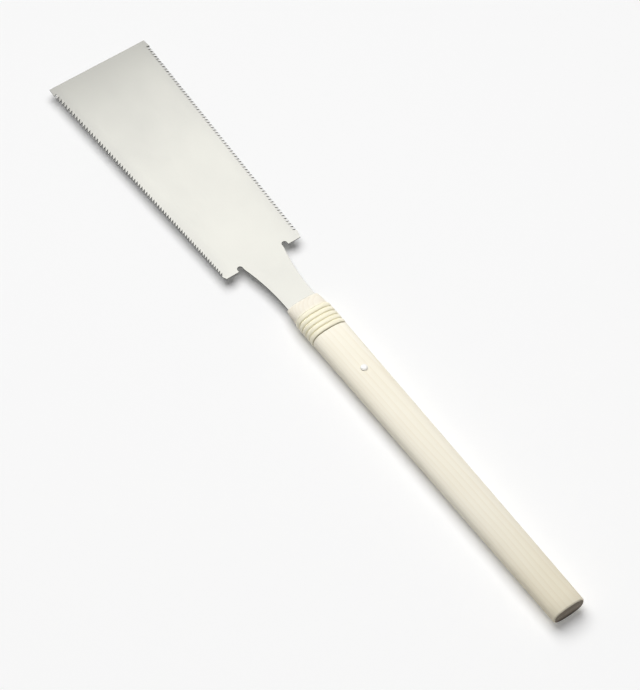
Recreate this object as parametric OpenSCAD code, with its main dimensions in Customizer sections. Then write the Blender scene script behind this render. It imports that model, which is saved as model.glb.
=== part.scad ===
// Ryoba: a double-edged pull saw. X runs from the handle's butt to the blade's toe, Y towards the rip edge
// and Z up, square to the plate. The origin is the middle of the butt face, in the plate's middle plane.

/* [Blade] */
// Length of the plate from the heel line to the toe
blade_len = 240; // [180:1:300]
// Width over the tooth points at the toe
toe_w = 92; // [80:1:120]
// Width over the tooth points at the heel
heel_w = 71; // [62:1:79]
// Thickness of the steel plate
plate_t = 0.8; // [0.5:0.1:1.2]
// Length of the bare edge ahead of the teeth at each toe corner
toe_land = 8; // [4:0.5:16]
// How far each toe corner is eased inwards
toe_ease = 1; // [0.2:0.1:2]
// How far each heel corner is eased inwards
heel_ease = 1.6; // [0.2:0.1:2.4]

/* [Rip teeth] */
// Length of the bare edge behind the rip teeth
rip_land = 3.5; // [3:0.5:12]
// Pitch of the rip teeth at the heel
rip_pitch_heel = 2.75; // [2:0.05:3.5]
// Pitch of the rip teeth at the toe
rip_pitch_toe = 3.8; // [2.5:0.05:4.5]
// Lean of a rip tooth's cutting face towards the handle, in degrees
rip_rake = 18; // [0:1:25]
// Slope of a rip tooth's back, in degrees from square
rip_back = 56; // [50:1:62]

/* [Crosscut teeth] */
// Length of the bare edge behind the crosscut teeth
cross_land = 7; // [3:0.5:12]
// Pitch of the crosscut teeth
cross_pitch = 1.6; // [1.4:0.05:2.4]
// Height of a crosscut tooth
cross_h = 3; // [1.6:0.1:3.6]
// Lean of a crosscut tooth's cutting face towards the handle, in degrees
cross_rake = 8; // [0:1:15]
// Height of the facet filed on a crosscut tooth's point
cross_facet_h = 0.8; // [0.2:0.1:0.9]
// Slope of that facet, in degrees from square
cross_facet_slope = 48; // [30:1:50]
// Slant of the file across a crosscut gullet, in degrees, turned over from one gullet to the next
cross_fleam = 30; // [0:1:30]
// Width left at the point of a crosscut tooth
cross_tip_w = 0.1; // [0.05:0.05:0.2]
// Width of the flat that the file leaves at the root of a crosscut gullet
cross_root_w = 0.3; // [0.1:0.05:0.4]

/* [Neck and tang] */
// Length of the neck from the heel line to the front of the handle
neck_len = 51.5; // [48:0.5:80]
// Width of the neck at the handle
neck_w = 25; // [18:0.5:26]
// Width of the neck between the two notches
neck_root_w = 36.5; // [32:0.5:44]
// Length over which the neck's sides sweep outwards
neck_sweep = 47; // [30:1:48]
// Radius of the round notch on each side of the neck
notch_r = 2.25; // [1.2:0.05:3]
// Depth of the notch from the heel line
notch_depth = 4.35; // [3.2:0.05:8]
// Length of the tang inside the handle
tang_len = 98; // [90:1:140]
// Width of the tang at its round end
tang_end_w = 14; // [9:0.5:18]

/* [Handle] */
// Length of the handle from the butt to its front
handle_len = 320; // [240:1:400]
// Width of the handle at the butt
butt_w = 26.6; // [22:0.2:32]
// Thickness of the handle at the butt
butt_t = 15.4; // [13:0.2:22]
// Width of the handle at the shoulder behind the binding
grip_w = 30.4; // [30:0.2:36]
// Thickness of the handle at the shoulder behind the binding
grip_t = 17.5; // [17:0.1:24]
// Width of the nose at the front of the handle
nose_w = 28; // [27.6:0.2:29]
// Thickness of the nose at the front of the handle
nose_t = 9.6; // [6:0.2:13]
// Length of the nose ahead of the binding
nose_len = 12.8; // [8:0.1:18]
// How far the nose stands in from the grip's surface where it meets the binding
nose_inset = 0.6; // [0.3:0.1:1]
// Squareness of the oval section, where 2 is an ellipse
oval_power = 2.2; // [2:0.05:3]
// Ease on the edges of the butt
butt_ease = 0.9; // [0.3:0.1:2]
// Ease on the nose and on the two shoulders of the binding's seat
edge_ease = 0.5; // [0.2:0.1:0.8]

/* [Binding] */
// Number of turns of cane
cane_turns = 5; // [3:1:9]
// Width of the cane
cane_w = 4.1; // [3:0.1:6]
// Thickness of the cane
cane_t = 2.2; // [1.4:0.1:2.6]
// Thickness of the cane at its two edges
cane_edge_t = 1; // [0.5:0.1:1.2]
// Width of the cane's crown
cane_crown_w = 2.2; // [1:0.1:2.8]
// Gap between one turn and the next
turn_gap = 0.5; // [0.45:0.05:1.2]
// How far the cane stands proud of the grip
cane_proud = 0.4; // [0:0.1:1]
// Share of a turn, in degrees on the underside, where the cane steps to the next turn
step_arc = 45; // [30:15:75]
// Straight length of each end of the cane, tucked into the lower half
tail_len = 4; // [2.4:0.1:4.2]

/* [Rivet] */
// Distance of the rivet behind the shoulder
rivet_set = 43.5; // [30:0.5:60]
// Diameter of the rivet's shank
rivet_d = 3; // [2:0.1:4]
// Diameter of the rivet's round head
head_d = 5.6; // [4.6:0.1:8]
// Height of the rivet's round head
head_h = 1.7; // [1:0.1:2.4]
// Diameter of the head formed over the burr
formed_d = 5; // [4.4:0.1:6]
// Height of the head formed over the burr
formed_h = 1.4; // [0.8:0.1:2]
// Outside diameter of the burr
burr_d = 7.5; // [6.4:0.1:10]
// Thickness of the burr
burr_t = 0.8; // [0.5:0.1:1.2]

/* [Fits] */
// Clearance at each side of the tang in its pocket
tang_side_gap = 0.15; // [0.05:0.05:0.3]
// Clearance round the rivet's shank
rivet_gap = 0.05; // [0.02:0.01:0.1]
// Clearance round the rivet's head and the burr in their seats
seat_gap = 0.3; // [0.1:0.05:0.5]
// Depth of the flat seats cut for the rivet's head and the burr
seat_depth = 0.3; // [0.2:0.05:0.5]
// Clearance round the cane in its seat
cane_gap = 0.15; // [0.13:0.01:0.25]
// Clearance round the cane's tucked ends in their slots
tail_gap = 0.1; // [0.05:0.01:0.12]

/* [Hidden] */
$fn = 96;

// Stations along the saw
front_x = handle_len;
heel_x = front_x + neck_len;
seat_len = cane_turns * cane_w + (cane_turns - 1) * turn_gap + 2 * cane_gap;
nose_x = front_x - nose_len;
shoulder_x = nose_x - seat_len;
rivet_x = shoulder_x - rivet_set;
tang_end_x = front_x - tang_len;

// Tooth rows, laid out along an edge from the heel with the tooth points on the line v = 0
edge_rise = (toe_w - heel_w) / 2;
edge_angle = atan(edge_rise / blade_len);
edge_len = norm([blade_len, edge_rise]);
rip_run = edge_len - rip_land - toe_land;
rip_count = round(2 * rip_run / (rip_pitch_heel + rip_pitch_toe));
rip_stretch = 2 * rip_run / (rip_count * (rip_pitch_heel + rip_pitch_toe));
cross_run = edge_len - cross_land - toe_land;
cross_count = round(cross_run / cross_pitch);
cross_step = cross_run / cross_count;
cross_widen = (plate_t * tan(cross_fleam) - cross_tip_w) / 2;

// Sections of the handle: half width and half thickness
butt = [butt_w, butt_t] / 2;
grip = [grip_w, grip_t] / 2;
nose = [nose_w, nose_t] / 2;
nose_back = grip - [nose_inset, nose_inset];
cane_seat = grip + [1, 1] * (cane_proud - cane_t - cane_gap);
section_points = 64;
nose_steps = 4;

// How far a cut runs past the surface that it opens, and the whole length of a slanted cut through the plate
trim = 1;
cut_through = 2 * (plate_t + cross_pitch);

// Height of the handle's surface at the rivet, and the seats cut into it
rivet_z = butt[1] + (grip[1] - butt[1]) * rivet_x / shoulder_x;
head_z = rivet_z - seat_depth;
burr_z = head_z - burr_t;

// Cane: points of its half-round section as [along the handle, out from the seat], and its winding
cane_section = [
    [-cane_w / 2, 0],
    [cane_w / 2, 0],
    [cane_w / 2, cane_edge_t],
    [cane_crown_w / 2, cane_t],
    [-cane_crown_w / 2, cane_t],
    [-cane_w / 2, cane_edge_t]
];
loop_rings = 24;
ring_step = 360 / loop_rings;
underside = 270;
cane_bend = 0.8;
bend_rings = 3;
cane_pitch = cane_w + turn_gap;
first_turn_x = shoulder_x + cane_gap + cane_w / 2;

// Shape functions

// A point of the oval at an angle, for a half width and half thickness
function oval(half, angle) = [
    half[0] * sign(cos(angle)) * pow(abs(cos(angle)), 2 / oval_power),
    half[1] * sign(sin(angle)) * pow(abs(sin(angle)), 2 / oval_power)
];

// The outward direction of the oval at an angle
function oval_normal(half, angle) =
    let (p = oval(half, angle))
    let (g = [for (k = [0, 1]) sign(p[k]) * pow(abs(p[k] / half[k]), oval_power - 1) / half[k]])
    g / norm(g);

// A ring of the handle's loft at x
function handle_ring(x, half) = [
    for (k = [0:section_points - 1])
        let (p = oval(half, (k + 0.5) * 360 / section_points))
        [x, p[0], p[1]]
];

// The distance of the rip row's tooth point i from the start of its teeth
function rip_point(i) =
    rip_stretch * (rip_pitch_heel * i + (rip_pitch_toe - rip_pitch_heel) * i * (i - 1) / 2 / (rip_count - 1));

// The outline of the rip edge from the heel corner to the toe corner
function rip_edge() =
    let (slope = tan(rip_back) - tan(rip_rake))
    concat(
        [[0, -heel_ease], [rip_land, 0]],
        [
            for (i = [1:rip_count])
                let (point = rip_land + rip_point(i), depth = (rip_point(i) - rip_point(i - 1)) / slope)
                each [[point + depth * tan(rip_rake), -depth], [point, 0]]
        ],
        [[edge_len, -toe_ease]]
    );

// The outline of the crosscut edge over its tooth points, from the heel corner to the toe corner
function cross_edge() = [[0, -heel_ease], [cross_land, 0], [edge_len - toe_land, 0], [edge_len, -toe_ease]];

// An edge's points turned to the flare of the blade and set on the heel's half width
function on_edge(points, side) = [
    for (p = points) [
        heel_x + p[0] * cos(edge_angle) - p[1] * sin(edge_angle),
        side * (heel_w / 2 + p[0] * sin(edge_angle) + p[1] * cos(edge_angle))
    ]
];

// Reverses a list
function reversed(list) = [for (k = [len(list) - 1:-1:0]) list[k]];

// Eases 0 to 1 with level ends
function smooth(u) = u * u * (3 - 2 * u);

// The cane's place along the handle at a winding angle: level, with a step to the next turn on the underside
function cane_x(angle) =
    let (turn = floor(angle / 360), part = angle - 360 * turn)
    first_turn_x + cane_pitch * (turn + smooth(max(0, (part - 360 + step_arc) / step_arc)));

// A ring of the cane from its place, the point of its inner face and the direction of its outer face
function cane_ring(x, p, n) = [for (s = cane_section) [x + s[0], p[0] + s[1] * n[0], p[1] + s[1] * n[1]]];

// The inner face of the cane lies on this oval
cane_path = cane_seat + [cane_gap, cane_gap];
cane_start = underside + step_arc / 2;
cane_sweep = 360 * cane_turns - step_arc;

// The rings of one tucked end: side is -1 where the cane starts and 1 where it stops
function tail_rings(angle, x, side) =
    let (n = oval_normal(cane_path, angle), t = side * [-n[1], n[0]])
    let (centre = oval(cane_path, angle) - cane_bend * n)
    let (bend = [
        for (k = [1:bend_rings])
            let (a = 90 * k / bend_rings, m = n * cos(a) + t * sin(a))
            cane_ring(x, centre + cane_bend * m, m)
    ])
    let (end = cane_ring(x, centre + cane_bend * t - tail_len * n, t))
    side > 0 ? concat(bend, [end]) : concat([end], reversed(bend));

// All rings of the cane, from one tucked end to the other
cane_rings = concat(
    tail_rings(cane_start, first_turn_x, -1),
    [
        for (a = [0:ring_step:cane_sweep])
            let (angle = cane_start + a)
            cane_ring(cane_x(a), oval(cane_path, angle), oval_normal(cane_path, angle))
    ],
    tail_rings(cane_start + cane_sweep, cane_x(cane_sweep), 1)
);

// Least distance from any ring of the cane to the rings at least half a turn further on
cane_least_gap = min([
    for (i = [0:len(cane_rings) - 1])
        for (j = [i + loop_rings / 2:1:len(cane_rings) - 1])
            for (p = cane_rings[i])
                for (q = cane_rings[j])
                    norm(p - q)
]);
echo(cane_least_gap = cane_least_gap);

// Shared shapes

// A closed skin over a list of rings with equal numbers of points
module skin(rings) {
    count = len(rings[0]);
    last = len(rings) - 1;
    points = [for (ring = rings) each ring];
    sides = [
        for (i = [0:last - 1])
            for (j = [0:count - 1])
                let (k = (j + 1) % count, a = i * count, b = a + count)
                each [[a + j, b + j, b + k], [a + j, b + k, a + k]]
    ];
    first_cap = [for (j = [1:count - 2]) [0, j, j + 1]];
    last_cap = [for (j = [1:count - 2]) [last * count, last * count + j + 1, last * count + j]];
    polyhedron(points, concat(first_cap, sides, last_cap), convexity = 10);
}

// A round head that rises from z = 0
module round_head(diameter, height) {
    radius = (height * height + diameter * diameter / 4) / (2 * height);
    rotate_extrude()
        intersection() {
            translate([0, height - radius])
                circle(radius);
            square([diameter, height]);
        }
}

// The outline of the tang and neck, from the round end to the heel, widened by gap at each side
module tang_outline(gap) {
    end_r = tang_end_w / 2 + gap;
    half = neck_w / 2 + gap;
    end_centre = tang_end_x + tang_end_w / 2;
    translate([end_centre, 0])
        circle(end_r);
    polygon([
        [end_centre, -end_r],
        [front_x - edge_ease, -half],
        [heel_x, -half],
        [heel_x, half],
        [front_x - edge_ease, half],
        [end_centre, end_r]
    ]);
}

// The neck, swept in from its root to the handle by an arc on each side
module neck_outline() {
    rise = (neck_root_w - neck_w) / 2;
    radius = (neck_sweep * neck_sweep + rise * rise) / (2 * rise);
    root_half = neck_root_w / 2 + notch_r;
    difference() {
        translate([heel_x - neck_sweep, -root_half])
            square([neck_sweep + notch_depth, 2 * root_half]);
        for (side = [-1, 1])
            translate([heel_x - neck_sweep, side * (neck_w / 2 + radius)])
                circle(radius, $fn = 720);
    }
}

// The round-ended notch beside the neck
module notch_outline(side) {
    translate([heel_x + notch_depth - notch_r, side * (neck_root_w / 2 + notch_r)]) {
        circle(notch_r);
        translate([-notch_depth, -notch_r])
            square([notch_depth, 2 * notch_r]);
    }
}

// The space behind crosscut point i, filed at a slant so that each tooth is a knife on one face of the plate
module cross_gullet(i) {
    slant = i % 2 == 0 ? -cross_fleam : cross_fleam;
    back = -cross_step - cross_widen;
    root = cross_h * tan(cross_rake);
    mirror([0, 1, 0])
        translate([heel_x, heel_w / 2, 0])
            rotate([0, 0, edge_angle])
                translate([cross_land + i * cross_step, 0, 0])
                    rotate([0, slant, 0])
                        linear_extrude(cut_through, center = true)
                            polygon([
                                [cross_widen, trim],
                                [back, trim],
                                [back, 0],
                                [back + cross_facet_h * tan(cross_facet_slope), -cross_facet_h],
                                [root - cross_root_w / 2, -cross_h],
                                [root + cross_root_w / 2, -cross_h],
                                [cross_widen, 0]
                            ]);
}

// The whole wooden handle before it is parted, with the cane's seat cut in
module handle_blank() {
    ease = [edge_ease, edge_ease];
    skin(concat(
        [
            handle_ring(-trim, butt - [1, 1] * (butt_ease + trim)),
            handle_ring(butt_ease, butt),
            handle_ring(shoulder_x - edge_ease, grip),
            handle_ring(shoulder_x, grip - ease),
            handle_ring(shoulder_x, cane_seat),
            handle_ring(nose_x, cane_seat),
            handle_ring(nose_x, nose_back - ease)
        ],
        [
            for (k = [0:nose_steps])
                let (u = k / nose_steps)
                handle_ring(
                    nose_x + edge_ease + u * (nose_len - 2 * edge_ease),
                    nose_back + (nose - nose_back) * u * u
                )
        ],
        [handle_ring(front_x + trim, nose - [1, 1] * (edge_ease + trim))]
    ));
}

// One half of the handle, cut for the tang and the rivet
module handle_half(side) {
    difference() {
        intersection() {
            handle_blank();
            translate([0, -grip_w, side < 0 ? -grip_t : 0])
                cube([front_x, 2 * grip_w, grip_t]);
        }
        translate([0, 0, -plate_t / 2])
            linear_extrude(plate_t)
                tang_outline(tang_side_gap);
        translate([rivet_x, 0, -grip_t])
            cylinder(d = rivet_d + 2 * rivet_gap, h = 2 * grip_t);
    }
}

// A slot in the lower half for a tucked end of the cane
module tail_slot(angle, x, side) {
    n = oval_normal(cane_path, angle);
    p = oval(cane_path, angle);
    width = cane_w + 2 * tail_gap;
    depth = cane_bend + tail_len + tail_gap;
    across = cane_bend + cane_t + tail_gap;
    translate([x, p[0], p[1]])
        rotate([atan2(n[1], n[0]) - 90, 0, 0])
            translate([-width / 2, side > 0 ? -across : 0, -depth])
                cube([width, across, depth + cane_t]);
}

// Pieces

module saw_blade() {
    color([0.86, 0.86, 0.84])
        difference() {
            translate([0, 0, -plate_t / 2])
                linear_extrude(plate_t)
                    difference() {
                        union() {
                            polygon(concat(on_edge(cross_edge(), -1), reversed(on_edge(rip_edge(), 1))));
                            neck_outline();
                            tang_outline(0);
                        }
                        for (side = [-1, 1])
                            notch_outline(side);
                        translate([rivet_x, 0])
                            circle(d = rivet_d + 2 * rivet_gap);
                    }
            for (i = [1:cross_count])
                cross_gullet(i);
        }
}

module handle_upper_half() {
    color([0.95, 0.92, 0.83])
        difference() {
            handle_half(1);
            translate([rivet_x, 0, head_z])
                cylinder(d = head_d + 2 * seat_gap, h = grip_t);
        }
}

module handle_lower_half() {
    color([0.95, 0.92, 0.83])
        difference() {
            handle_half(-1);
            translate([rivet_x, 0, -grip_t - burr_z])
                cylinder(d = burr_d + 2 * seat_gap, h = grip_t);
            tail_slot(cane_start, first_turn_x, -1);
            tail_slot(cane_start + cane_sweep, cane_x(cane_sweep), 1);
        }
}

module cane_binding() {
    color([0.94, 0.89, 0.68])
        skin(cane_rings);
}

module tang_rivet() {
    color([0.9, 0.9, 0.88])
        translate([rivet_x, 0, 0]) {
            translate([0, 0, -head_z])
                cylinder(d = rivet_d, h = 2 * head_z);
            translate([0, 0, head_z])
                round_head(head_d, head_h);
            translate([0, 0, -head_z])
                mirror([0, 0, 1])
                    round_head(formed_d, formed_h);
        }
}

module rivet_burr() {
    color([0.85, 0.85, 0.83])
        translate([rivet_x, 0, -head_z])
            difference() {
                cylinder(d = burr_d, h = burr_t);
                translate([0, 0, -burr_t])
                    cylinder(d = rivet_d + 2 * rivet_gap, h = 3 * burr_t);
            }
}

saw_blade();
handle_upper_half();
handle_lower_half();
cane_binding();
tang_rivet();
rivet_burr();
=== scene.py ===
import math

import bmesh
import bpy
from bpy.props import FloatProperty, FloatVectorProperty, IntProperty, PointerProperty
from mathutils import Matrix, Vector


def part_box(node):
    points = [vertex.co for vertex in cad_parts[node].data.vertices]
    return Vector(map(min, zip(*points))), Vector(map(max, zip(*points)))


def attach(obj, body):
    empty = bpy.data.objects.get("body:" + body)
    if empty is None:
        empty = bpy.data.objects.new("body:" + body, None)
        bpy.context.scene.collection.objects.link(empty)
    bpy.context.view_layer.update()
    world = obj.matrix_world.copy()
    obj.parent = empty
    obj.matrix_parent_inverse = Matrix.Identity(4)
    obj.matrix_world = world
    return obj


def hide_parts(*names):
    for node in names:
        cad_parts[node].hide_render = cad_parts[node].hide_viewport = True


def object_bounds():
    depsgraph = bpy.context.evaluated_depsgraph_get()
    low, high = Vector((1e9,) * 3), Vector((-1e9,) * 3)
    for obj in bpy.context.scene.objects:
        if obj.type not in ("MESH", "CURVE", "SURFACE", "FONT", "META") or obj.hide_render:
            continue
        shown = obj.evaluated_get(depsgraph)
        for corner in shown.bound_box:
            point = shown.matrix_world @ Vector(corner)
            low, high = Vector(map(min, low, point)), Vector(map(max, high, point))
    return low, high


bl_info = {
    "name": "Ryoba saw",
    "version": (1, 0, 0),
    "blender": (4, 5, 0),
    "location": "3D View > Sidebar > Ryoba saw",
    "description": "Dresses the construction of a double-edged pull saw in steel, whitewood and cane",
    "category": "Object",
}

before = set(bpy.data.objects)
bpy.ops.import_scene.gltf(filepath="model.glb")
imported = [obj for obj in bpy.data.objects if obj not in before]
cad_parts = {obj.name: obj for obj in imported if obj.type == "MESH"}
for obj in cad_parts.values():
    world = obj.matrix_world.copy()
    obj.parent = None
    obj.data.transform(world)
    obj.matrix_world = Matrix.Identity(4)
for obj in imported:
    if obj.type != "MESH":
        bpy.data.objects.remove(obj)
CAD_LOW, CAD_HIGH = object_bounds()
BLADE_LOW, BLADE_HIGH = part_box("saw_blade")
HANDLE_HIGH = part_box("handle_upper_half")[1]
CANE_LOW, CANE_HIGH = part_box("cane_binding")
RIVET_LOW, RIVET_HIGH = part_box("tang_rivet")
BURR_LOW, BURR_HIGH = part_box("rivet_burr")

BODY = "root"
WELD = 1e-6
UP = Vector((0, 0, 1))
ALONG = Vector((1, 0, 0))
UNDERSIDE = 1.5 * math.pi
FULL_TURN = 2 * math.pi
OVERCUT = 0.002

# Upward part of a normal: least on the plate's flat faces, least on its set teeth, most on its edges
FLAT = 0.99
LEVEL = 0.9
UPRIGHT = 0.05

# Edges of a tooth are shorter than this, and its point comes as near as this to the line of the points
TOOTH_EDGE = 0.02
POINT_REACH = 0.0001

# Steps of the round and the lofted forms
LATHE_STEPS = 64
TANG_STEPS = 24
EASE_STEPS = 4
GRIP_STEPS = 34
NOSE_STEPS = 10
DOME_STEPS = 18
SECTION_STEPS = 18
BEND_RINGS = 6
TURN_RINGS = 96

# Ease of the butt: how far along the handle and how far in, in parts of the ease
BUTT_PROFILE = ((0.0, 1.06), (0.08, 0.9), (0.86, 0.1), (1.15, 0.0))

# Unevenness of the cane: part of its thickness, waves in a turn and start of the waves
CANE_SWELLS = ((0.012, 2.3, 0.0), (0.008, 5.1, 1.0))

# Squareness of the rivet's round head and of its formed head
HEAD_POWER = 2.8
FORMED_POWER = 2.0

# Rim of a head in parts of its height, and the rim's foot in parts of the radius and of the rim
RIM = 0.3
RIM_FOOT = ((0.985, 0.4), (0.95, 0.0))


# Properties: what a user would change

def length(name, description, default):
    """A size in metres."""
    return FloatProperty(name=name, description=description, default=default, unit="LENGTH", precision=6)


def angle(name, description, default):
    """An angle, given in degrees and kept in radians."""
    radians = math.radians(default)
    return FloatProperty(name=name, description=description, default=radians, subtype="ANGLE")


def share(name, description, default):
    """A number from 0 to 1."""
    return FloatProperty(
        name=name, description=description, default=default, min=0, max=1, subtype="FACTOR"
    )


def number(name, description, default):
    """A plain number."""
    return FloatProperty(name=name, description=description, default=default)


def whole(name, description, default):
    """A whole number."""
    return IntProperty(name=name, description=description, default=default, min=1)


def watts(name, description, default):
    """The power of a light."""
    return FloatProperty(name=name, description=description, default=default, unit="POWER")


def colour(name, description, default):
    """A linear colour."""
    return FloatVectorProperty(
        name=name, description=description, default=default, min=0, max=1, subtype="COLOR"
    )


def place(name, description, default):
    """A point in metres."""
    return FloatVectorProperty(name=name, description=description, default=default, subtype="XYZ_LENGTH")


class BladeProps(bpy.types.PropertyGroup):
    """Sizes and finish of the steel plate."""

    heel_x: length("Heel", "Place of the heel line along the saw", 0.3715)
    heel_w: length("Heel width", "Width between the lines of the tooth points at the heel", 0.071)
    toe_w: length("Toe width", "Width between those lines, carried on to the toe", 0.092)
    gullet_max: length("Deepest gullet", "Largest depth of a gullet under the tooth points", 0.0036)
    gullet_min: length("Shallowest gullet", "Least depth of a gullet under the tooth points", 0.0018)
    rip_set: length("Rip set", "How far a rip tooth's point is bent aside", 0.00006)
    cross_set: length("Crosscut set", "How far a crosscut tooth's point is bent aside", 0.00016)
    edge_round: length("Edge rounding", "Rounding of the plate's long edges", 0.00012)
    steel: colour("Steel", "Colour of the ground steel", (0.60, 0.595, 0.55))
    steel_dark: colour("Steel shade", "Colour of the darker clouds in the steel", (0.52, 0.515, 0.485))
    # Near black: painted shade on the gullet walls and plate edges, over filed steel
    filed: colour("Filed steel", "Colour of the filed gullets and edges", (0.05, 0.049, 0.047))
    roughness: share("Roughness", "Roughness of the satin finish", 0.21)
    filed_roughness: share("Filed roughness", "Roughness of the filed steel", 0.5)
    cloud_share: share("Clouds", "How far the clouds darken the steel", 0.25)
    line_share: share("Lines", "How far the grinding lines vary the steel's colour", 0.25)
    band_share: share("Worn band", "How far the worn band along the teeth is darkened", 0.3)
    band_low: length("Band start", "How far inside the tooth points the worn band begins to fade", 0.003)
    band_high: length("Band end", "How far inside the tooth points the worn band ends", 0.011)


class HandleProps(bpy.types.PropertyGroup):
    """Sizes and finish of the two whitewood halves."""

    handle_len: length("Length", "Length of the handle", HANDLE_HIGH.x)
    butt_w: length("Butt width", "Width of the handle at the butt", 0.0266)
    butt_t: length("Butt thickness", "Thickness of the handle at the butt", 0.0154)
    grip_w: length("Grip width", "Width of the handle behind the binding", 0.0304)
    grip_t: length("Grip thickness", "Thickness of the handle behind the binding", 0.0175)
    nose_w: length("Nose width", "Width of the nose at the front of the handle", 0.028)
    nose_t: length("Nose thickness", "Thickness of the nose at the front of the handle", 0.0096)
    nose_inset: length("Nose inset", "How far the nose stands in from the grip", 0.0006)
    oval_power: number("Oval power", "Squareness of the oval section", 2.5)
    butt_ease: length("Butt ease", "Ease on the edge of the butt", 0.0009)
    edge_ease: length("Edge ease", "Ease on the nose and shoulders", 0.0005)
    parting_ease: length("Parting ease", "Ease on the edges where the halves meet", 0.0005)
    parting_gap: length("Parting gap", "Gap from the parting plane to each half", 0.00008)
    tang_end_x: length("Tang end", "Place of the round end of the tang along the saw", BLADE_LOW.x)
    tang_end_w: length("Tang end width", "Width of the tang at its round end", 0.014)
    neck_w: length("Neck width", "Width of the neck at the front of the handle", 0.025)
    tang_gap: length("Tang clearance", "Clearance round the tang in its pocket", 0.00015)
    section_points: whole("Section points", "Points over one half of the oval", 64)
    wood: colour("Whitewood", "Colour of the pale early wood", (0.955, 0.912, 0.785))
    late_wood: colour("Late wood", "Colour of the darker lines of the grain", (0.815, 0.722, 0.545))
    # Painted shade: this tint darkens and yellows the wood towards the butt, for the light's fall-off
    # along the handle
    butt_falloff_shade: colour("Handled wood", "Tint of the wood that hands have darkened", (0.955, 0.93, 0.87))
    # Painted shade: this tint dims the nose, which faces the softbox
    nose_shade: colour("Nose tint", "Tint of the nose, dulled by dust", (0.94, 0.93, 0.94))
    end_grain: colour("End grain", "Colour of the cut butt", (0.25, 0.212, 0.168))
    # Painted shade: this tint darkens the lower part of the cut butt
    butt_end_shade: colour("Shaded end", "Tint of the lower part of the butt", (0.12, 0.105, 0.09))
    roughness: share("Roughness", "Roughness of the planed wood", 0.56)
    # Painted shade: length over which the wood darkens towards the butt
    butt_falloff_shade_len: length("Handled length", "Length of the wood that hands have darkened", 0.11)
    pith: place("Pith", "Middle of the tree's growth rings, beside the handle", (0, 0.031, -0.074))
    ring_pitch: length("Ring pitch", "Spacing of the growth rings", 0.0017)
    ring_wander: length("Ring wander", "How far the growth rings wander", 0.004)
    ring_share: share("Rings", "How far the growth rings darken the wood", 0.32)
    fibre_share: share("Fibres", "How far the fibres vary the wood", 0.3)
    patch_share: share("Patches", "How far the patches vary the wood", 0.35)
    fleck_share: share("Flecks", "How far the flecks darken the wood", 0.18)


class BindingProps(bpy.types.PropertyGroup):
    """Sizes and finish of the cane strand."""

    turns: whole("Turns", "Number of turns of cane", 5)
    cane_w: length("Cane width", "Width of the cane", 0.00445)
    cane_t: length("Cane thickness", "Thickness of the cane", 0.0022)
    cane_proud: length("Cane stand", "How far the cane stands proud of the grip", 0.0004)
    cane_gap: length("Cane clearance", "Clearance round the cane in its seat", 0.00015)
    rear_gap: length("Rear gap", "Gap between the rearmost turn and the shoulder of the handle", 0.0005)
    front_gap: length("Front gap", "Gap between the foremost turn and the nose of the handle", 0.00003)
    tail_gap: length("Tail clearance", "Clearance round the tucked ends in their slots", 0.0001)
    step_arc: angle("Step", "Part of a turn, on the underside, in which the cane steps to the next", 45)
    bend_r: length("Bend", "Radius of the bend where an end is tucked in", 0.0008)
    tail_len: length("Tail length", "Straight length of each tucked end", 0.004)
    crown_power: number("Crown power", "Fullness of the cane's rounded crown", 3.1)
    cane: colour("Cane", "Colour of the cane's rind", (0.93, 0.88, 0.70))
    # Also the colour of the painted shade in the grooves
    cane_dark: colour("Cane shade", "Colour between the fibres and in the grooves", (0.86, 0.805, 0.575))
    roughness: share("Roughness", "Roughness of the cane's rind", 0.4)
    # Painted shade in the grooves between turns
    groove_shade_share: share("Grooves", "How far the cane is darkened in the grooves", 0.3)
    fibre_share: share("Fibres", "How far the fibres vary the cane", 0.5)
    blotch_share: share("Blotches", "How far the blotches vary the cane", 0.35)


class RivetProps(bpy.types.PropertyGroup):
    """Sizes and finish of the rivet and its burr."""

    shank_d: length("Shank", "Diameter of the rivet's shank", 0.003)
    head_d: length("Head", "Diameter of the round head", 0.0056)
    head_h: length("Head height", "Height of the round head", 0.0017)
    formed_d: length("Formed head", "Diameter of the head formed over the burr", 0.005)
    formed_h: length("Formed height", "Height of the head formed over the burr", 0.0014)
    seat_gap: length("Seat clearance", "Clearance round the head and the burr in their seats", 0.00006)
    bore_gap: length("Bore clearance", "Clearance round the shank", 0.00005)
    metal: colour("Rivet metal", "Colour of the polished rivet", (0.95, 0.935, 0.90))
    roughness: share("Roughness", "Roughness of the polished rivet", 0.38)
    speck_share: share("Specks", "How far the specks dull the rivet", 0.4)
    mark_share: share("Turning marks", "How far the turning marks dull the rivet", 0.15)


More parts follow.
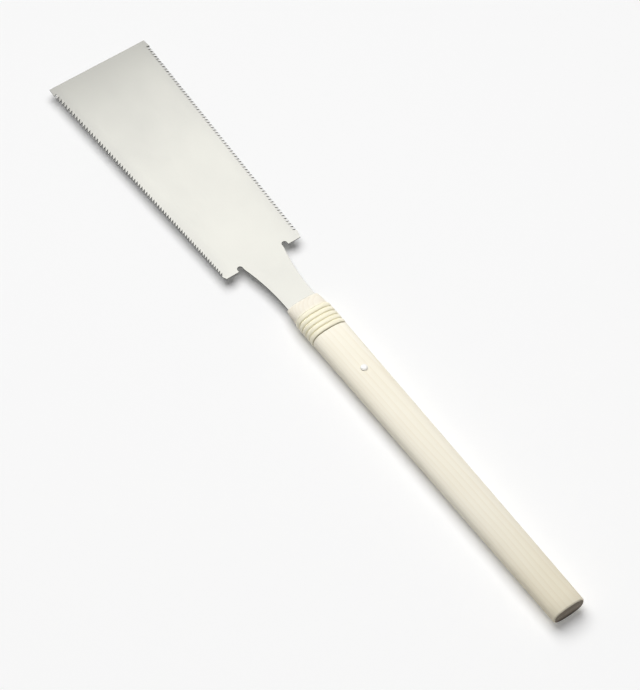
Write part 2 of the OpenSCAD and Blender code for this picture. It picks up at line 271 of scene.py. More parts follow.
class StageProps(bpy.types.PropertyGroup):
    """Camera, light and floor."""

    camera: place("Camera", "Place of the camera", (-0.5188, 0.5445, 1.41))
    aim: place("Aim", "Point seen at the middle of the picture", (0.2811, 0.0114, 0))
    roll: angle("Roll", "Turn of the camera about its own axis", -1.763)
    lens: number("Lens", "Focal length in millimetres", 120)
    softbox: place("Softbox", "Place of the large soft light", (0.6, -0.09, 1.0))
    softbox_aim: place("Softbox aim", "Point that the large soft light faces", (0.36, 0, 0))
    softbox_size: length("Softbox size", "Width and length of the large soft light", 1.0)
    softbox_power: watts("Softbox power", "Power of the large soft light", 13.57)
    reflector: place("Reflector", "Place of the level panel that the steel mirrors", (1.14, -0.3, 1.2))
    reflector_w: length("Reflector width", "Width of the mirrored panel", 1.3)
    reflector_len: length("Reflector length", "Length of the mirrored panel along the saw", 0.85)
    reflector_power: watts("Reflector power", "Power of the mirrored panel", 4.1)
    room: colour("Room", "Light of the room round the stage", (0.12, 0.12, 0.12))
    walls: colour("Walls", "Pale walls of the room, as they are seen and mirrored", (0.93, 0.93, 0.93))
    walls_low: angle("Walls' top", "How high over the floor's level the pale walls begin to fade", 26)
    walls_high: angle("Walls' end", "How high over the floor's level the pale walls end", 44)
    ceiling: colour("Ceiling", "Ceiling of the room, as it is seen and mirrored", (0.4, 0.4, 0.4))
    floor: share("Floor", "Brightness of the floor away from the saw, the same all over", 0.93)
    paper: share("Paper", "Palest tone of the floor's paper, past which it glows where it is seen", 0.92)
    glow: share("Glow", "Least part of the floor's brightness that is its own glow", 0.09)
    floor_size: length("Floor size", "Width of the floor", 12)
    rest_gap: length("Rest gap", "Gap between the floor and the lowest point of the saw", 0.00001)


# Shader maths

class Value:
    """A shader socket for Python expressions: each operator adds the Math node that it needs."""

    def __init__(self, graph, socket):
        self.graph = graph
        self.socket = socket

    def __add__(self, other):
        return self.graph.math("ADD", self, other)

    def __sub__(self, other):
        return self.graph.math("SUBTRACT", self, other)

    def __rsub__(self, other):
        return self.graph.math("SUBTRACT", other, self)

    def __mul__(self, other):
        return self.graph.math("MULTIPLY", self, other)

    def __truediv__(self, other):
        return self.graph.math("DIVIDE", self, other)

    def __rtruediv__(self, other):
        return self.graph.math("DIVIDE", other, self)

    def __pow__(self, other):
        return self.graph.math("POWER", self, other)

    def __abs__(self):
        return self.graph.math("ABSOLUTE", self)

    def output(self, name):
        """Another output of the same node."""
        return Value(self.graph, self.socket.node.outputs[name])

    __radd__ = __add__


class Graph:
    """A node tree under construction."""

    def __init__(self, tree):
        self.tree = tree
        self.tree.nodes.clear()

    def node(self, kind, settings=None, inputs=None, output=0):
        """Adds a node: its settings first, then the values or links of its sockets. Gives one output."""
        node = self.tree.nodes.new(kind)
        for key, value in (settings or {}).items():
            setattr(node, key, value)
        for key, value in (inputs or {}).items():
            if isinstance(value, Value):
                self.tree.links.new(value.socket, node.inputs[key])
            else:
                node.inputs[key].default_value = value
        return Value(self, node.outputs[output]) if node.outputs else None

    def math(self, operation, *values):
        """A Math node."""
        return self.node("ShaderNodeMath", {"operation": operation}, dict(enumerate(values)))

    def smooth(self, value, low, high):
        """Rises smoothly from 0 at low to 1 at high."""
        limits = {"Value": value, "From Min": low, "From Max": high}
        return self.node("ShaderNodeMapRange", {"interpolation_type": "SMOOTHSTEP"}, limits)

    def mix(self, factor, first, second, blend="MIX"):
        """Mixes two colours."""
        settings = {"data_type": "RGBA", "blend_type": blend}
        return self.node("ShaderNodeMix", settings, {0: factor, 6: opaque(first), 7: opaque(second)}, 2)

    def place(self):
        """The point of the surface, in metres along the saw's own axes."""
        return self.node("ShaderNodeTexCoord", output="Object")

    def seen(self):
        """1 where the surface is seen or mirrored, and 0 where it only gives light."""
        path = self.node("ShaderNodeLightPath", output="Is Camera Ray")
        mirrored = self.math("MAXIMUM", path.output("Is Glossy Ray"), path.output("Is Transmission Ray"))
        return self.math("MAXIMUM", path, mirrored)

    def vector(self, operation, first, second=(0, 0, 0), output="Vector"):
        """A Vector Math node."""
        return self.node("ShaderNodeVectorMath", {"operation": operation}, {0: first, 1: second}, output)

    def axis(self, vector, name):
        """One coordinate of a vector."""
        return self.node("ShaderNodeSeparateXYZ", inputs={0: vector}, output=name)

    def noise(self, vector, scale, detail, roughness=0.5):
        """Smooth noise from 0 to 1, with its own scale along each axis, in waves for each metre."""
        stretched = self.vector("MULTIPLY", vector, scale)
        inputs = {"Vector": stretched, "Scale": 1.0, "Detail": detail, "Roughness": roughness}
        return self.node("ShaderNodeTexNoise", inputs=inputs)

    def bump(self, height, distance, strength):
        """A normal from a height."""
        inputs = {"Strength": strength, "Distance": distance, "Height": height}
        return self.node("ShaderNodeBump", inputs=inputs)

    def surface(self, **sockets):
        """The material's surface. A socket's name is written with underscores for its spaces."""
        inputs = {name.replace("_", " "): value for name, value in sockets.items()}
        shader = self.node("ShaderNodeBsdfPrincipled", inputs=inputs)
        self.node("ShaderNodeOutputMaterial", inputs={"Surface": shader})


def opaque(value):
    """A colour with its alpha, or a socket as it is."""
    return value if isinstance(value, Value) else (*value, 1.0)


def new_finish(name):
    """A new material and its graph."""
    material = bpy.data.materials.new(name)
    material.use_nodes = True
    return material, Graph(material.node_tree)


# Finishes

def steel_finish(props):
    """Satin steel: fine grinding lines along the blade, faint clouds and a worn band along the teeth."""
    material, graph = new_finish("satin_steel")
    point = graph.place()
    lines = graph.noise(point, scale=(70, 5200, 5200), detail=4.0)
    clouds = graph.noise(point, scale=(16, 22, 22), detail=3.0)
    along = graph.axis(point, "X") - props.heel_x
    inside = along * flare(props) + props.heel_w / 2 - abs(graph.axis(point, "Y"))
    fade = 1 - graph.smooth(inside, low=props.band_low, high=props.band_high)
    band = fade * graph.smooth(along, low=0.0, high=0.004)
    shade = graph.smooth(clouds, low=0.3, high=0.75) * props.cloud_share + band * props.band_share
    tint = graph.mix(shade, props.steel, props.steel_dark)
    streaked = graph.mix((lines - 0.5) * props.line_share + 0.12, tint, props.steel_dark)
    graph.surface(
        Base_Color=streaked,
        Metallic=1.0,
        Roughness=(lines - 0.5) * 0.1 + (clouds - 0.5) * 0.06 + props.roughness,
        Normal=graph.bump(lines, distance=0.000002, strength=0.25),
    )
    return material


def shaded_filed_finish(props):
    """Steel with the marks of a file, on the gullets and the edges of the plate. Its near-black colour
    is painted shade.
    """
    material, graph = new_finish("shaded_filed_steel")
    point = graph.place()
    marks = graph.noise(point, scale=(3000, 3000, 9000), detail=2.0)
    graph.surface(
        Base_Color=graph.mix(marks * 0.1, props.filed, props.steel_dark),
        Metallic=1.0,
        Roughness=(marks - 0.5) * 0.2 + props.filed_roughness,
        Normal=graph.bump(marks, distance=0.000004, strength=0.4),
    )
    return material


def wood_finish(props):
    """Planed whitewood: growth rings cut along the handle, fine fibres, and a darker cut end, with
    painted shade towards the butt, on the nose and on the cut end's lower part.
    """
    material, graph = new_finish("whitewood")
    point = graph.place()
    along = graph.axis(point, "X")
    wander = graph.noise(point, scale=(5, 30, 30), detail=2.0) - 0.5
    from_pith = graph.vector("SUBTRACT", point, props.pith)
    radius = graph.vector("LENGTH", graph.vector("MULTIPLY", from_pith, (0, 1, 1)), output="Value")
    phase = graph.math("FRACT", (radius + wander * props.ring_wander) / props.ring_pitch)
    late = phase ** 3 * (1 - graph.smooth(phase, low=0.93, high=1.0))
    fibres = graph.noise(point, scale=(45, 2600, 2600), detail=4.0, roughness=0.6)
    patches = graph.noise(point, scale=(14, 60, 60), detail=2.0)
    flecks = graph.smooth(graph.noise(point, scale=(160, 3400, 3400), detail=1.0), low=0.68, high=0.76)
    grain = (
        late * props.ring_share + (fibres - 0.5) * props.fibre_share
        + (patches - 0.5) * props.patch_share + flecks * props.fleck_share + 0.08
    )
    plain = graph.mix(grain, props.wood, props.late_wood)
    # Painted shade: the wood darker towards the butt, for the light's fall-off
    butt = 1 - graph.smooth(along, low=0.0, high=props.butt_falloff_shade_len)
    worn = graph.mix(butt, plain, props.butt_falloff_shade, "MULTIPLY")
    # Painted shade: the nose is dimmed, as it faces the softbox
    front = graph.smooth(along, low=CANE_HIGH.x, high=CANE_HIGH.x + 0.003)
    side = graph.mix(front, worn, props.nose_shade, "MULTIPLY")
    pores = graph.noise(point, scale=(300, 4200, 4200), detail=2.0)
    pale = tuple(1.5 * c for c in props.end_grain)
    unshaded_end = graph.mix(late * 0.6 + pores * 0.4, props.end_grain, pale)
    # Painted shade: the cut end darkens towards its lower edge
    height = graph.axis(point, "Z")
    low_shade = 1 - graph.smooth(height, low=-props.butt_t * 0.4, high=-props.butt_t * 0.1)
    cut = graph.mix(low_shade, unshaded_end, props.butt_end_shade, "MULTIPLY")
    across_grain = abs(graph.axis(graph.node("ShaderNodeNewGeometry", output="Normal"), "X"))
    end = graph.smooth(across_grain, low=0.75, high=0.95)
    relief = fibres * 0.7 + late * 0.3 + end * pores
    graph.surface(
        Base_Color=graph.mix(end, side, cut),
        Roughness=(fibres - 0.5) * 0.16 + late * 0.08 + props.roughness + end * 0.15,
        Specular_IOR_Level=0.22,
        Normal=graph.bump(relief, distance=0.00004, strength=0.35),
    )
    return material


def cane_finish(props):
    """Split cane: a satin rind with fibres along the strand, and painted shade in the grooves."""
    material, graph = new_finish("split_cane")
    along = graph.node("ShaderNodeAttribute", {"attribute_name": "along"}, output="Fac")
    across = graph.node("ShaderNodeAttribute", {"attribute_name": "across"}, output="Fac")
    strand = graph.node("ShaderNodeCombineXYZ", inputs={"X": along, "Y": across, "Z": 0.0})
    fibres = graph.noise(strand, scale=(60, 9, 1), detail=4.0, roughness=0.65)
    blotch = graph.noise(strand, scale=(35, 0.8, 1), detail=2.0)
    # Painted shade: the cane darkens towards its edges, in the grooves between turns
    groove_shade = graph.smooth(abs(across), low=0.62, high=1.0)
    shade = (
        groove_shade * props.groove_shade_share + (fibres - 0.5) * props.fibre_share
        + (blotch - 0.5) * props.blotch_share + 0.1
    )
    graph.surface(
        Base_Color=graph.mix(shade, props.cane, props.cane_dark),
        Roughness=(fibres - 0.5) * 0.2 + props.roughness + groove_shade * 0.15,
        Specular_IOR_Level=0.45,
        Normal=graph.bump(fibres, distance=0.00008, strength=0.5),
    )
    return material


def rivet_finish(props):
    """Polished white metal with fine turning marks and dull specks."""
    material, graph = new_finish("rivet_metal")
    point = graph.place()
    marks = graph.noise(point, scale=(900, 6000, 900), detail=2.0)
    specks = graph.smooth(graph.noise(point, scale=(2600, 2600, 2600), detail=2.0), low=0.6, high=0.75)
    dull = tuple(0.72 * c for c in props.metal)
    graph.surface(
        Base_Color=graph.mix(specks * props.speck_share + marks * props.mark_share, props.metal, dull),
        Metallic=0.48,
        Roughness=(marks - 0.5) * 0.12 + specks * 0.15 + props.roughness,
        Normal=graph.bump(marks + specks, distance=0.000003, strength=0.3),
    )
    return material


def floor_light(graph, props, point):
    """The light of the room and the softbox on the floor, the softbox taken as four small lamps."""
    turned = floor_place(props).inverted() @ softbox_place(props)
    back = turned.to_3x3() @ UP
    apart = props.softbox_size / math.sqrt(12)
    light = sum(props.room) / 3
    for right, ahead in ((-apart, -apart), (-apart, apart), (apart, -apart), (apart, apart)):
        lamp = turned @ Vector((right, ahead, 0))
        ray = graph.vector("SUBTRACT", tuple(lamp), point)
        reach = graph.vector("DOT_PRODUCT", ray, ray, "Value")
        slant = graph.vector("DOT_PRODUCT", ray, tuple(back), "Value")
        light += slant / (reach * reach) * (lamp.z * props.softbox_power / 4 / math.pi ** 2)
    return light


def floor_finish(props):
    """A pale paper floor, toned against the fall-off of the light, with a glow where it lacks light."""
    material, graph = new_finish("studio_floor")
    point = graph.place()
    paper = graph.noise(point, scale=(900, 900, 900), detail=2.0)
    light = floor_light(graph, props, point)
    tone = graph.math("MINIMUM", (props.floor - props.glow) / light, props.paper)
    seen = graph.seen()
    graph.surface(
        Base_Color=tone * (paper * 0.02 + 0.99),
        Roughness=0.95,
        Specular_IOR_Level=0.0,
        Emission_Color=seen * (props.floor - tone * light),
        Emission_Strength=1.0,
    )
    return material


def room_finish(graph, props):
    """An even dim light, with pale walls and a ceiling that are only seen and mirrored."""
    height = graph.axis(graph.node("ShaderNodeTexCoord", output="Generated"), "Z")
    wall = 1 - graph.smooth(height, math.sin(props.walls_low), math.sin(props.walls_high))
    shade = graph.mix(graph.seen(), props.room, graph.mix(wall, props.ceiling, props.walls))
    room = graph.node("ShaderNodeBackground", inputs={"Color": shade, "Strength": 1.0})
    graph.node("ShaderNodeOutputWorld", inputs={"Surface": room})


# Mesh helpers

def oval(half, turn, power):
    """A point of the handle's oval section: half width and half thickness, at an angle."""
    c, s = math.cos(turn), math.sin(turn)
    return Vector((
        half[0] * math.copysign(abs(c) ** (2 / power), c),
        half[1] * math.copysign(abs(s) ** (2 / power), s),
    ))


def oval_normal(half, turn, power):
    """The outward direction of the oval at an angle."""
    point = oval(half, turn, power)
    slope = [math.copysign(abs(p / h) ** (power - 1) / h, p) for p, h in zip(point, half)]
    return Vector(slope).normalized()


def loft(bm, rings):
    """Skins rings of points one after the other, and closes both ends."""
    rows = [[bm.verts.new(point) for point in ring] for ring in rings]
    count = len(rows[0])
    for low, high in zip(rows, rows[1:]):
        for j in range(count):
            k = (j + 1) % count
            bm.faces.new((low[j], low[k], high[k], high[j]))
    bm.faces.new(rows[0])
    bm.faces.new(rows[-1])
    bmesh.ops.recalc_face_normals(bm, faces=bm.faces)
    return rows


def lathe(profile, centre):
    """Turns a profile of radii and heights about an upright axis. Off the axis, its ends are joined."""
    bm = bmesh.new()
    verts = [bm.verts.new((centre[0] + r, centre[1], z)) for r, z in profile]
    edges = [bm.edges.new(pair) for pair in zip(verts, verts[1:])]
    if profile[0][0] > 0:
        edges.append(bm.edges.new((verts[-1], verts[0])))
    middle = (centre[0], centre[1], 0)
    bmesh.ops.spin(bm, geom=verts + edges, cent=middle, axis=UP, angle=FULL_TURN, steps=LATHE_STEPS)
    bmesh.ops.remove_doubles(bm, verts=bm.verts, dist=WELD)
    bmesh.ops.recalc_face_normals(bm, faces=bm.faces)
    return bm


def prism(outline, low, high):
    """An upright solid over a flat outline."""
    bm = bmesh.new()
    loft(bm, [[(x, y, z) for x, y in outline] for z in (low, high)])
    return bm


def arc(centre, radius, start, stop, count):
    """Points of an arc in the plane."""
    turns = [start + (stop - start) * k / count for k in range(count + 1)]
    return [(centre[0] + radius * math.cos(t), centre[1] + radius * math.sin(t)) for t in turns]


def new_object(name, bm):
    """An object in the scene from a mesh under construction."""
    mesh = bpy.data.meshes.new(name)
    bm.to_mesh(mesh)
    bm.free()
    thing = bpy.data.objects.new(name, mesh)
    bpy.context.scene.collection.objects.link(thing)
    return thing


def carve(thing, cutters):
    """Cuts solids out of an object and removes them from the scene."""
    for cutter in cutters:
        modifier = thing.modifiers.new(cutter.name, "BOOLEAN")
        modifier.object = cutter
        modifier.solver = "EXACT"
    depsgraph = bpy.context.evaluated_depsgraph_get()
    carved = bpy.data.meshes.new_from_object(thing.evaluated_get(depsgraph))
    thing.modifiers.clear()
    thing.data = carved
    for cutter in cutters:
        bpy.data.objects.remove(cutter)


def dress(piece, node, finishes, crease):
    """Gives a piece its finishes and smooth shading, and puts it in place of a construction node."""
    mesh = piece.data
    for finish in finishes:
        mesh.materials.append(finish)
    mesh.polygons.foreach_set("use_smooth", [True] * len(mesh.polygons))
    mesh.set_sharp_from_angle(angle=math.radians(crease))
    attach(piece, BODY)
    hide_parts(node)


# Blade

def flare(props):
    """Slope of each line of tooth points to the middle of the saw."""
    return (props.toe_w - props.heel_w) / 2 / (BLADE_HIGH.x - props.heel_x)


def tooth_depth(props, point):
    """Depth of a point inside the line of the tooth points. Behind the heel it counts as deep."""
    if point.x < props.heel_x:
        return props.heel_w
    line = props.heel_w / 2 + (point.x - props.heel_x) * flare(props)
    return (line - abs(point.y)) * math.cos(math.atan(flare(props)))


def find_teeth(props, face):
    """The teeth on one face of the plate, each as its points from gullet root to gullet root."""
    verts = [loop.vert for loop in face.loops]
    depths = [tooth_depth(props, vert.co) for vert in verts]
    count = len(verts)
    roots = [
        k for k in range(count)
        if props.gullet_min < depths[k] < props.gullet_max
        and depths[k] >= max(depths[k - 1], depths[(k + 1) % count]) - WELD
    ]
    teeth = []
    for first, second in zip(roots, roots[1:] + roots[:1]):
        between = [(first + step) % count for step in range(1, (second - first) % count)]
        same_row = verts[first].co.y * verts[second].co.y > 0
        if same_row and between and max(depths[k] for k in between) < props.gullet_min:
            teeth.append((verts[first], [verts[k] for k in between], verts[second]))
    return teeth


def set_teeth(props, bm):
    """Splits the teeth off the plate's faces and bends them aside.

    Rip teeth go to the two sides in turn, and crosscut teeth to the side where their point is.
    """
    for upward in (1, -1):
        faces = [face for face in bm.faces if face.normal.z * upward > FLAT]
        teeth = [tooth for face in faces for tooth in find_teeth(props, face)]
        for row, set_by in ((1, props.rip_set), (-1, props.cross_set)):
            members = [tooth for tooth in teeth if tooth[0].co.y * row > 0]
            members.sort(key=lambda tooth: tooth[0].co.x + tooth[2].co.x)
            for which, (first, points, second) in enumerate(members):
                shared = [face for face in first.link_faces if face in second.link_faces]
                level = [face for face in shared if abs(face.normal.z) > LEVEL]
                bmesh.utils.face_split(max(level, key=lambda face: len(face.verts)), first, second)
                reach = [props.gullet_max - tooth_depth(props, vert.co) for vert in points]
                pointed = max(reach) > props.gullet_max - POINT_REACH
                way = (1 if which % 2 else -1) if row > 0 else upward * (1 if pointed else -1)
                for vert, high in zip(points, reach):
                    vert.co.z += way * set_by * high / props.gullet_max


def plate_edges(props, bm):
    """The long edges of the plate's outline, without those of the teeth."""
    chosen = []
    for edge in bm.edges:
        tilts = sorted(abs(face.normal.z) for face in edge.link_faces)
        teeth = all(tooth_depth(props, vert.co) < props.gullet_max for vert in edge.verts)
        outline = len(tilts) == 2 and tilts[0] < UPRIGHT and tilts[1] > FLAT
        if outline and not (teeth and edge.calc_length() < TOOTH_EDGE):
            chosen.append(edge)
    return chosen


class RYOBA_OT_blade(bpy.types.Operator):
    """Makes the steel plate with its set teeth"""

    bl_idname = "ryoba.blade"
    bl_label = "Saw blade"

    def execute(self, context):
        props = context.scene.ryoba_blade
        bm = bmesh.new()
        bm.from_mesh(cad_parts["saw_blade"].data)
        bmesh.ops.remove_doubles(bm, verts=bm.verts, dist=WELD)
        bmesh.ops.dissolve_limit(bm, angle_limit=math.radians(0.5), verts=bm.verts, edges=bm.edges)
        bm.normal_update()
        set_teeth(props, bm)
        bm.normal_update()
        edges = plate_edges(props, bm)
        bmesh.ops.bevel(bm, geom=edges, offset=props.edge_round, segments=2, profile=0.5, affect="EDGES")
        bm.normal_update()
        # Upright faces take the filed steel, with its painted shade
        for face in bm.faces:
            face.material_index = 0 if abs(face.normal.z) > LEVEL else 1
        blade = new_object("saw_plate", bm)
        dress(blade, "saw_blade", [steel_finish(props), shaded_filed_finish(props)], crease=20)
        for polygon in blade.data.polygons:
            polygon.use_smooth = abs(polygon.normal.z) < LEVEL
        return {"FINISHED"}


# Handle

def handle_stations(handle, binding):
    """Places along the handle with the half width and half thickness there, from butt to nose."""
    butt = Vector((handle.butt_w, handle.butt_t)) / 2
    grip = Vector((handle.grip_w, handle.grip_t)) / 2
    nose = Vector((handle.nose_w, handle.nose_t)) / 2
    both = Vector((1, 1))
    back = grip - both * handle.nose_inset
    seat = grip + both * (binding.cane_proud - binding.cane_t - binding.cane_gap)
    shoulder_x, nose_x = seat_ends(binding)
    front_x = handle.handle_len
    ease = handle.butt_ease
    small = handle.edge_ease
    quarter = [math.pi / 2 * k / EASE_STEPS for k in range(1, EASE_STEPS + 1)]
    stations = [(ease * along, butt - both * ease * inward) for along, inward in BUTT_PROFILE]
    start_x = stations[-1][0]
    run = shoulder_x - small - start_x
    for k in range(1, GRIP_STEPS + 1):
        stations.append((start_x + run * k / GRIP_STEPS, butt.lerp(grip, k / GRIP_STEPS)))
    stations += [
        (shoulder_x - small * (1 - math.sin(a)), grip - both * small * (1 - math.cos(a)))
        for a in quarter
    ]
    stations += [(shoulder_x, seat), (nose_x, seat)]
    stations += [
        (nose_x + small * (1 - math.cos(a)), back - both * small * (1 - math.sin(a)))
        for a in [0] + quarter
    ]
    nose_run = front_x - nose_x - 2 * small
    for k in range(1, NOSE_STEPS + 1):
        part = k / NOSE_STEPS
        stations.append((nose_x + small + nose_run * part, back.lerp(nose, part * part)))
    stations += [
        (front_x - small * (1 - math.sin(a)), nose - both * small * (1 - math.cos(a)))
        for a in quarter
    ]
    return stations


def half_ring(handle, x, half, side):
    """The outline of one half at x: its arc, with the edges at the parting plane eased."""
    ease = handle.parting_ease
    first = math.asin((ease / half[1]) ** (handle.oval_power / 2))
    count = handle.section_points
    turns = [first + (math.pi - 2 * first) * k / count for k in range(count + 1)]
    points = [oval(half, turn, handle.oval_power) for turn in turns]
    inner = half[0] - ease
    outline = [(inner, handle.parting_gap), *points, (-inner, handle.parting_gap)]
    return [(x, y, side * z) for y, z in outline]


def tang_cutter(handle):
    """The pocket of the tang: its tapered outline with a round end, through the plate's thickness."""
    end_r = handle.tang_end_w / 2
    centre = (handle.tang_end_x + end_r, 0)
    half = handle.neck_w / 2 + handle.tang_gap
    front = handle.handle_len
    past = front + OVERCUT
    outline = arc(centre, end_r + handle.tang_gap, 1.5 * math.pi, 0.5 * math.pi, TANG_STEPS)
    outline += [(front, half), (past, half), (past, -half), (front, -half)]
    return new_object("tang_pocket", prism(outline, BLADE_LOW.z, BLADE_HIGH.z))


def seat_cutter(name, diameter, low, high):
    """A round recess on the rivet's axis."""
    centre = (RIVET_LOW + RIVET_HIGH) / 2
    profile = [(0.0, low), (diameter / 2, low), (diameter / 2, high), (0.0, high)]
    return new_object(name, lathe(profile, centre))


def tail_cutters(handle, binding):
    """The two slots that take the ends of the cane."""
    cutters = []
    width = binding.cane_w / 2 + binding.tail_gap
    deep = binding.bend_r + binding.tail_len + binding.tail_gap
    wide = binding.bend_r + binding.cane_t + binding.tail_gap
    for which, (turn, x, way) in enumerate(tail_places(binding)):
        start, normal, tangent = tail_frame(handle, binding, turn, way)
        corners = [start - normal * deep, start - normal * deep + tangent * wide]
        corners += [start + normal * binding.cane_t + tangent * wide, start + normal * binding.cane_t]
        bm = bmesh.new()
        loft(bm, [[(x + sign * width, *corner) for corner in corners] for sign in (-1, 1)])
        cutters.append(new_object(f"tail_slot_{which}", bm))
    return cutters


class RYOBA_OT_handle(bpy.types.Operator):
    """Makes the two whitewood halves of the handle"""

    bl_idname = "ryoba.handle"
    bl_label = "Handle halves"

    def execute(self, context):
        handle = context.scene.ryoba_handle
        binding = context.scene.ryoba_binding
        rivet = context.scene.ryoba_rivet
        finish = wood_finish(handle)
        far = handle.grip_t
        for name, side in (("handle_top_half", 1), ("handle_bottom_half", -1)):
            bm = bmesh.new()
            loft(bm, [half_ring(handle, x, half, side) for x, half in handle_stations(handle, binding)])
            half = new_object(name, bm)
            cutters = [tang_cutter(handle)]
            cutters.append(seat_cutter("rivet_bore", rivet.shank_d + 2 * rivet.bore_gap, -far, far))
            if side > 0:
                head_d = rivet.head_d + 2 * rivet.seat_gap
                cutters.append(seat_cutter("head_seat", head_d, RIVET_HIGH.z - rivet.head_h, far))
            else:
                burr_d = BURR_HIGH.x - BURR_LOW.x + 2 * rivet.seat_gap
                cutters.append(seat_cutter("burr_seat", burr_d, -far, BURR_HIGH.z))
                cutters += tail_cutters(handle, binding)
            carve(half, cutters)
            node = "handle_upper_half" if side > 0 else "handle_lower_half"
            dress(half, node, [finish], crease=30)
        return {"FINISHED"}


# Binding

def cane_path(handle, binding):
    """The oval that the inner face of the cane lies on."""
    reach = binding.cane_proud - binding.cane_t
    return Vector((handle.grip_w / 2 + reach, handle.grip_t / 2 + reach))


def seat_ends(binding):
    """Places of the shoulder and the nose, between which the binding lies."""
    return CANE_LOW.x - binding.cane_gap, CANE_HIGH.x + binding.cane_gap


def first_turn_x(binding):
    """Place of the middle of the rearmost turn."""
    return seat_ends(binding)[0] + binding.rear_gap + binding.cane_w / 2


def turn_pitch(binding):
    """Distance from one turn to the next."""
    last_x = seat_ends(binding)[1] - binding.front_gap - binding.cane_w / 2
    return (last_x - first_turn_x(binding)) / (binding.turns - 1)


def cane_start(binding):
    """The winding angle where the strand comes out of its first slot."""
    return UNDERSIDE + binding.step_arc / 2


def cane_sweep(binding):
    """The whole winding angle from one slot to the other."""
    return FULL_TURN * binding.turns - binding.step_arc


def cane_x(binding, turned):
    """Place along the handle after a winding angle, with a step to the next turn on the underside."""
    turn, part = divmod(turned, FULL_TURN)
    step = max(0.0, (part - FULL_TURN + binding.step_arc) / binding.step_arc)
    return first_turn_x(binding) + turn_pitch(binding) * (turn + step * step * (3 - 2 * step))


def tail_places(binding):
    """The two tucked ends: winding angle, place along the handle and the way that the strand leaves."""
    last = cane_x(binding, cane_sweep(binding) - WELD)
    return [
        (cane_start(binding), first_turn_x(binding), -1),
        (cane_start(binding) + cane_sweep(binding), last, 1),
    ]


def tail_frame(handle, binding, turn, way):
    """Where an end leaves the oval: the point, the outward direction and the strand's way."""
    path = cane_path(handle, binding)
    normal = oval_normal(path, turn, handle.oval_power)
    tangent = Vector((-normal.y, normal.x)) * way
    return oval(path, turn, handle.oval_power), normal, tangent


def cane_section(binding):
    """The cane's half-round section: place across it from -1 to 1, and height over its inner face."""
    turns = [math.pi * k / SECTION_STEPS for k in range(SECTION_STEPS + 1)]
    crown = [oval((1.0, binding.cane_t), turn, binding.crown_power) for turn in turns]
    return [(point[0], max(0.0, point[1])) for point in crown]


def cane_ring(binding, section, x, point, normal, swell=1.0):
    """The section set on the strand at a point of its inner face."""
    half = binding.cane_w / 2
    return [(x + across * half, *(point + normal * height * swell)) for across, height in section]


def cane_tail(handle, binding, section, turn, x, way):
    """The rings of one tucked end, from its bend to its tip."""
    start, normal, tangent = tail_frame(handle, binding, turn, way)
    centre = start - normal * binding.bend_r
    rings = []
    for k in range(1, BEND_RINGS + 1):
        a = math.pi / 2 * k / BEND_RINGS
        out = normal * math.cos(a) + tangent * math.sin(a)
        rings.append(cane_ring(binding, section, x, centre + out * binding.bend_r, out))
    tip = centre + tangent * binding.bend_r - normal * binding.tail_len
    rings.append(cane_ring(binding, section, x, tip, tangent))
    return rings


def cane_rings(handle, binding, section):
    """The rings of the strand from one tucked end to the other."""
    path = cane_path(handle, binding)
    power = handle.oval_power
    sweep = cane_sweep(binding)
    first, last = [cane_tail(handle, binding, section, *end) for end in tail_places(binding)]
    wound = []
    count = round(TURN_RINGS * sweep / FULL_TURN)
    for k in range(count + 1):
        turned = sweep * k / count
        turn = cane_start(binding) + turned
        fade = math.sin(math.pi * k / count) ** 0.25
        waves = [part * math.sin(rate * turned + start) for part, rate, start in CANE_SWELLS]
        swell = 1 + fade * sum(waves)
        x = cane_x(binding, min(turned, sweep - WELD))
        point = oval(path, turn, power)
        wound.append(cane_ring(binding, section, x, point, oval_normal(path, turn, power), swell))
    return first[::-1] + wound + last


class RYOBA_OT_binding(bpy.types.Operator):
    """Winds the cane strand round the front of the handle"""

    bl_idname = "ryoba.binding"
    bl_label = "Cane binding"

    def execute(self, context):
        handle = context.scene.ryoba_handle
        binding = context.scene.ryoba_binding
        section = cane_section(binding)
        rings = cane_rings(handle, binding, section)
        bm = bmesh.new()
        along = bm.verts.layers.float.new("along")
        across = bm.verts.layers.float.new("across")
        rows = loft(bm, rings)
        run = 0.0
        for k, row in enumerate(rows):
            middle = len(row) // 2
            if k:
                run += (row[middle].co - rows[k - 1][middle].co).length
            for vert, (place_across, _height) in zip(row, section):
                vert[along] = run
                vert[across] = place_across
        strand = new_object("cane_strand", bm)
        dress(strand, "cane_binding", [cane_finish(binding)], crease=50)
        return {"FINISHED"}


# Rivet and burr

def dome(radius, base, height, way, power):
    """The profile of a round head from its crown to its rim, up or down from its base."""
    profile = []
    for k in range(DOME_STEPS + 1):
        out, rise = oval((radius, height * (1 - RIM)), math.pi / 2 * (1 - k / DOME_STEPS), power)
        profile.append((out if k else 0.0, base + way * (height * RIM + rise)))
    return profile + [(radius * out, base + way * height * RIM * up) for out, up in RIM_FOOT]


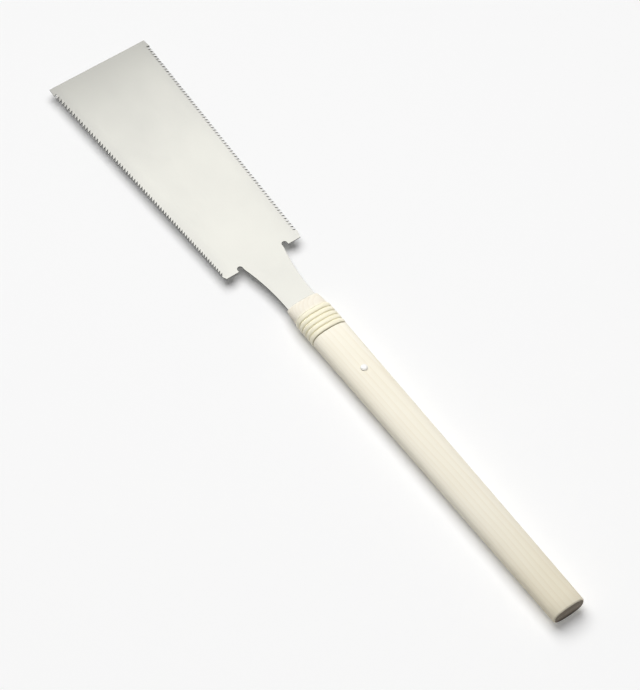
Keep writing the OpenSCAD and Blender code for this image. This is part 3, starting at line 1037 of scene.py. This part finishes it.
class RYOBA_OT_rivet(bpy.types.Operator):
    """Makes the rivet through the tang and the burr under its formed end"""

    bl_idname = "ryoba.rivet"
    bl_label = "Rivet and burr"

    def execute(self, context):
        props = context.scene.ryoba_rivet
        finish = rivet_finish(props)
        centre = (RIVET_LOW + RIVET_HIGH) / 2
        top = RIVET_HIGH.z - props.head_h
        bottom = RIVET_LOW.z + props.formed_h
        profile = dome(props.head_d / 2, top, props.head_h, 1, HEAD_POWER)
        profile += [(props.shank_d / 2, top), (props.shank_d / 2, bottom)]
        profile += dome(props.formed_d / 2, bottom, props.formed_h, -1, FORMED_POWER)[::-1]
        rivet = new_object("round_head_rivet", lathe(profile, centre))
        dress(rivet, "tang_rivet", [finish], crease=40)
        inner = props.shank_d / 2 + props.bore_gap
        outer = (BURR_HIGH.x - BURR_LOW.x) / 2
        low, high = BURR_LOW.z, BURR_HIGH.z
        ease = (high - low) / 4
        profile = [(inner, low + ease), (inner + ease, low), (outer - ease, low)]
        profile += [(outer - ease / 3, low + ease / 3), (outer, low + ease), (outer, high - ease / 2)]
        profile += [(outer - ease / 2, high), (inner, high)]
        burr = new_object("washer_burr", lathe(profile, centre))
        dress(burr, "rivet_burr", [finish], crease=40)
        return {"FINISHED"}


# Stage

def facing(position, target, up):
    """A turned place that looks from a point to another, with the given direction upright."""
    back = (position - target).normalized()
    right = up.cross(back).normalized()
    turned = Matrix((right, back.cross(right), back)).transposed().to_4x4()
    return Matrix.Translation(position) @ turned


def floor_place(props):
    """Where the floor lies, level under the lowest point of the saw."""
    return Matrix.Translation((0, 0, CAD_LOW.z - props.rest_gap))


def softbox_place(props):
    """Where the large soft light is, turned to its aim."""
    return facing(Vector(props.softbox), Vector(props.softbox_aim), ALONG)


def new_panel(name, width, height, power):
    """A rectangular area light that the camera doesn't see."""
    lamp = bpy.data.lights.new(name, "AREA")
    lamp.shape = "RECTANGLE"
    lamp.size = width
    lamp.size_y = height
    lamp.energy = power
    panel = bpy.data.objects.new(name, lamp)
    panel.visible_camera = False
    bpy.context.scene.collection.objects.link(panel)
    return panel


class RYOBA_OT_stage(bpy.types.Operator):
    """Makes the floor, the light and the camera"""

    bl_idname = "ryoba.stage"
    bl_label = "Stage"

    def execute(self, context):
        props = context.scene.ryoba_stage
        bm = bmesh.new()
        bmesh.ops.create_grid(bm, x_segments=1, y_segments=1, size=props.floor_size / 2)
        floor = new_object("studio_floor", bm)
        floor.matrix_world = floor_place(props)
        floor.data.materials.append(floor_finish(props))

        softbox = new_panel("softbox", props.softbox_size, props.softbox_size, props.softbox_power)
        softbox.matrix_world = softbox_place(props)
        softbox.visible_glossy = False

        under = Vector(props.reflector) * Vector((1, 1, 0))
        reflector = new_panel("reflector", props.reflector_w, props.reflector_len, props.reflector_power)
        reflector.matrix_world = facing(Vector(props.reflector), under, ALONG)
        reflector.visible_diffuse = False

        world = bpy.data.worlds.new("studio")
        world.use_nodes = True
        room_finish(Graph(world.node_tree), props)
        context.scene.world = world

        eye = bpy.data.cameras.new("camera")
        eye.lens = props.lens
        eye.sensor_width = 36
        eye.clip_end = 50
        camera = bpy.data.objects.new("camera", eye)
        turned = facing(Vector(props.camera), Vector(props.aim), UP)
        camera.matrix_world = turned @ Matrix.Rotation(props.roll, 4, "Z")
        context.scene.collection.objects.link(camera)
        context.scene.camera = camera
        context.scene.view_settings.view_transform = "Standard"
        return {"FINISHED"}


class RYOBA_PT_saw(bpy.types.Panel):
    """Lists the pieces of the saw"""

    bl_idname = "RYOBA_PT_saw"
    bl_label = "Ryoba saw"
    bl_space_type = "VIEW_3D"
    bl_region_type = "UI"
    bl_category = "Ryoba saw"

    def draw(self, context):
        for operator, group in STEPS:
            box = self.layout.box()
            box.operator(operator.bl_idname)
            settings = getattr(context.scene, group)
            for name in settings.bl_rna.properties.keys():
                if name not in {"rna_type", "name"}:
                    box.prop(settings, name)


GROUPS = {
    "ryoba_blade": BladeProps,
    "ryoba_handle": HandleProps,
    "ryoba_binding": BindingProps,
    "ryoba_rivet": RivetProps,
    "ryoba_stage": StageProps,
}
STEPS = [
    (RYOBA_OT_blade, "ryoba_blade"),
    (RYOBA_OT_handle, "ryoba_handle"),
    (RYOBA_OT_binding, "ryoba_binding"),
    (RYOBA_OT_rivet, "ryoba_rivet"),
    (RYOBA_OT_stage, "ryoba_stage"),
]


def register():
    """Adds the settings, operators and panel."""
    for name, group in GROUPS.items():
        bpy.utils.register_class(group)
        setattr(bpy.types.Scene, name, PointerProperty(type=group))
    for operator, _group in STEPS:
        bpy.utils.register_class(operator)
    bpy.utils.register_class(RYOBA_PT_saw)


def unregister():
    """Takes them away again."""
    bpy.utils.unregister_class(RYOBA_PT_saw)
    for operator, _group in reversed(STEPS):
        bpy.utils.unregister_class(operator)
    for name, group in reversed(GROUPS.items()):
        delattr(bpy.types.Scene, name)
        bpy.utils.unregister_class(group)


def main():
    """Makes the stage and the saw."""
    register()
    bpy.ops.ryoba.stage()
    bpy.ops.ryoba.blade()
    bpy.ops.ryoba.handle()
    bpy.ops.ryoba.binding()
    bpy.ops.ryoba.rivet()


if __name__ == "__main__":
    main()
